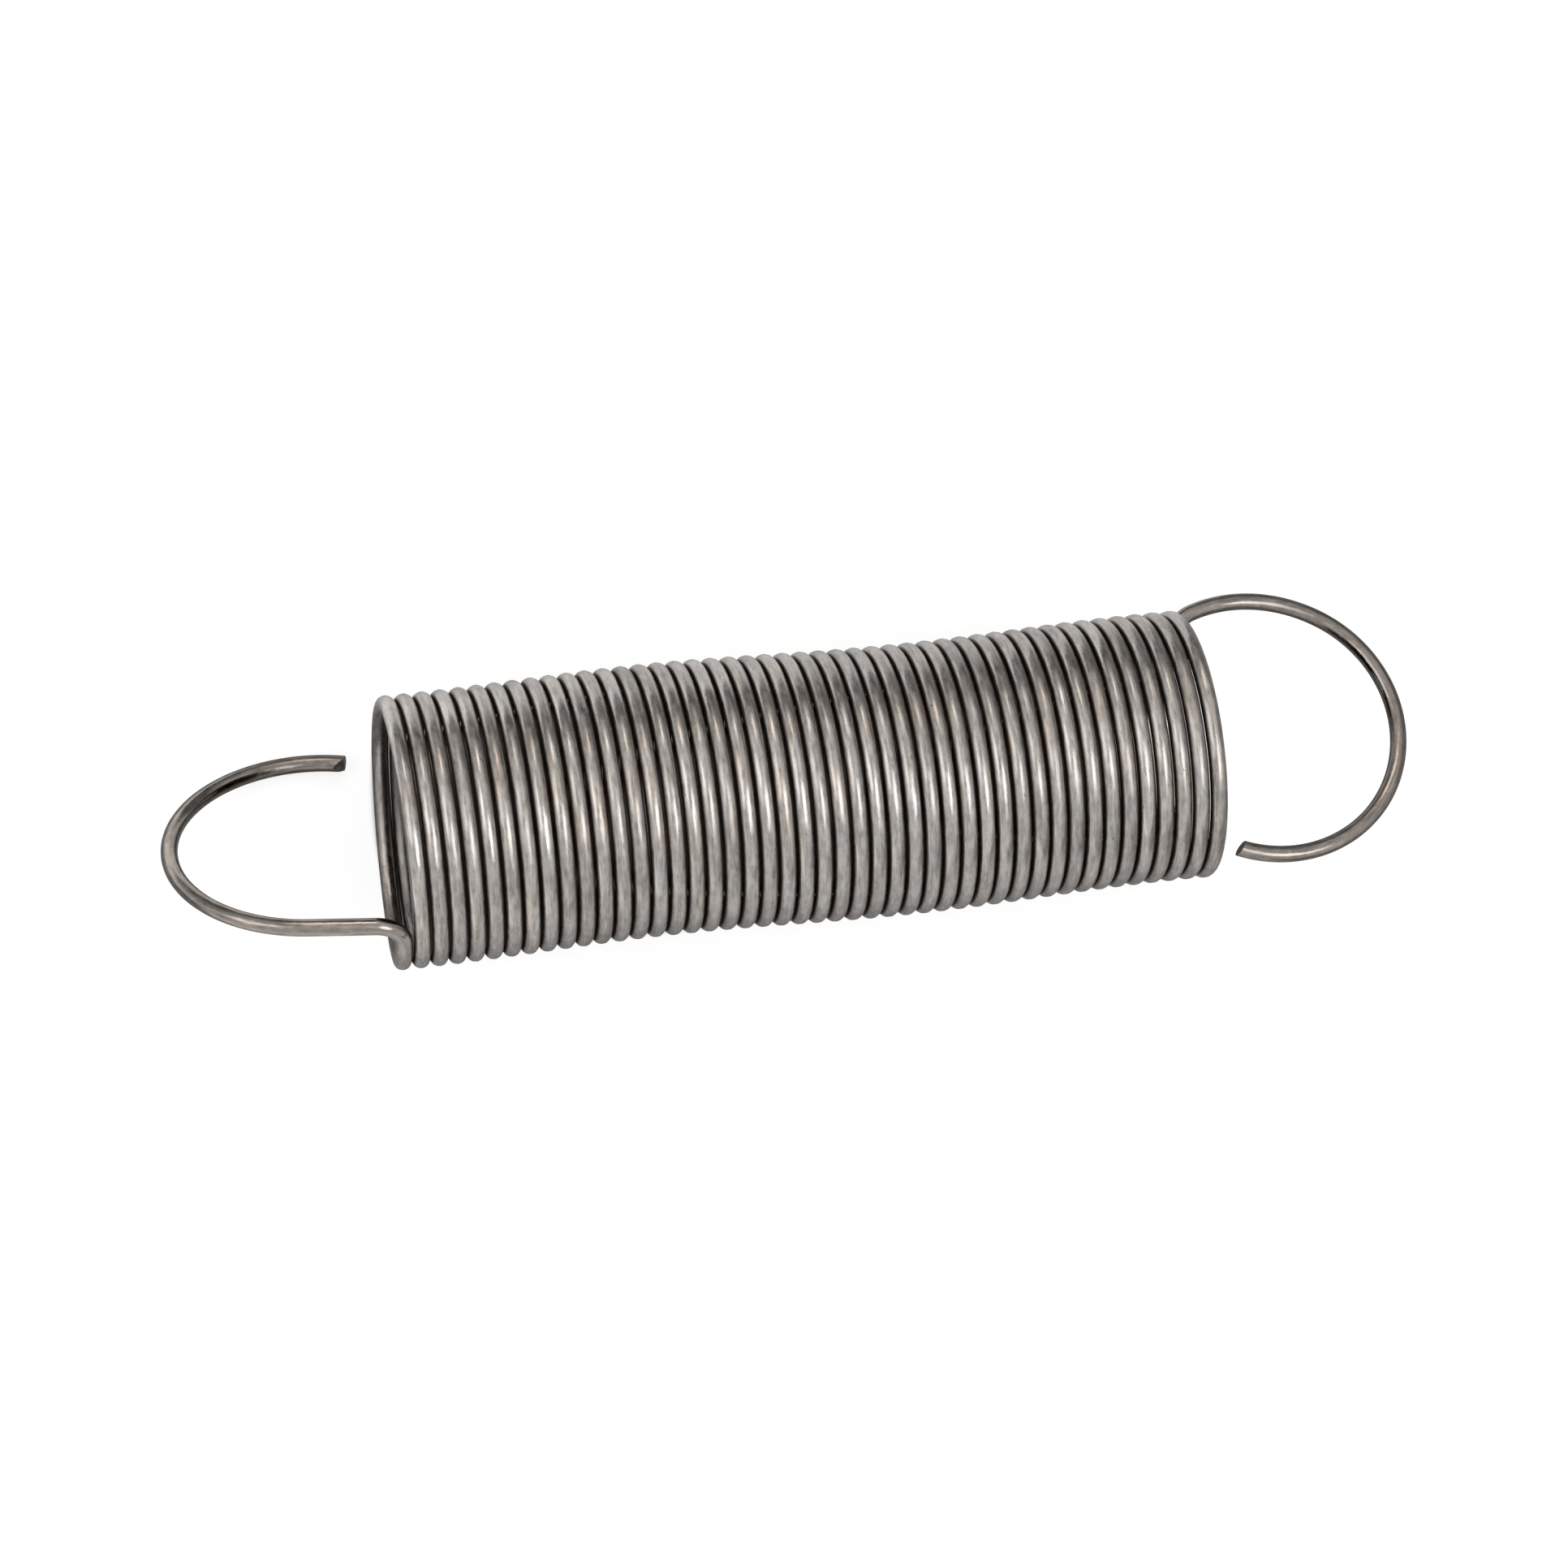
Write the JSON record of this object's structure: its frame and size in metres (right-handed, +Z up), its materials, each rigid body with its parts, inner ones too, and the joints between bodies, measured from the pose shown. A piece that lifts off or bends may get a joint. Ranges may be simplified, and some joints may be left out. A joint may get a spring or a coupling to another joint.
{
  "type": "extension spring",
  "caption": "Close-wound steel extension spring of round wire, with a full open hook loop at each end, lying on its side.",
  "frame": {"origin": "middle of the coil, on the coil's own axis", "axes": "+X along the coil's axis towards the hook with the longer reach, +Z up as the spring lies on a flat surface"},
  "size_m": [0.0752, 0.0177, 0.016],
  "materials": {
    "spring_steel": "bare drawn spring steel, semi-matt, with fine streaks along the wire and darker handled hooks"
  },
  "bodies": {
    "root": {"spring_wire": "spring_steel"}
  },
  "joints": []
}
